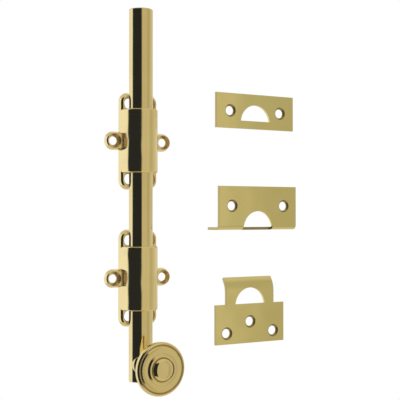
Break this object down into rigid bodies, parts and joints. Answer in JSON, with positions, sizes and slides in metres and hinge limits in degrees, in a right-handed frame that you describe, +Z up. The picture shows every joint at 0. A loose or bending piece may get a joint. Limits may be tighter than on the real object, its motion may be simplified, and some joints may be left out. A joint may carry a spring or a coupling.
{
  "type": "surface bolt",
  "caption": "Polished brass surface bolt: half-round rod with a ringed knob, sliding in lugged guides, with flat, angled and lipped strikes.",
  "frame": {"origin": "middle of the lower guide's back face, on the door's surface", "axes": "+Z up along the rod towards its tip, +X to the right, the knob points to -Y and the door lies behind the plane Y = 0"},
  "size_m": [0.1279, 0.0423, 0.208],
  "materials": {
    "guide_brass": "polished, lacquered",
    "rod_brass": "polished drawn bar",
    "knob_brass": "polished, lacquered",
    "strike_brass": "polished rolled sheet",
    "screw_brass": "machined",
    "spring_bronze": "rolled strip"
  },
  "bodies": {
    "guides": {"lower_guide": "guide_brass", "upper_guide": "guide_brass", "lower_spring": "spring_bronze", "upper_spring": "spring_bronze", "flat_strike": "strike_brass", "angle_strike": "strike_brass", "lip_strike": "strike_brass"},
    "bolt": {"rod": "rod_brass", "knob": "knob_brass", "knob_screw": "screw_brass"}
  },
  "joints": [
    {"name": "bolt_slide", "type": "slide", "parent": "guides", "child": "bolt", "axis": [0, 0, 1], "range_m": [0, 0.0225]}
  ]
}
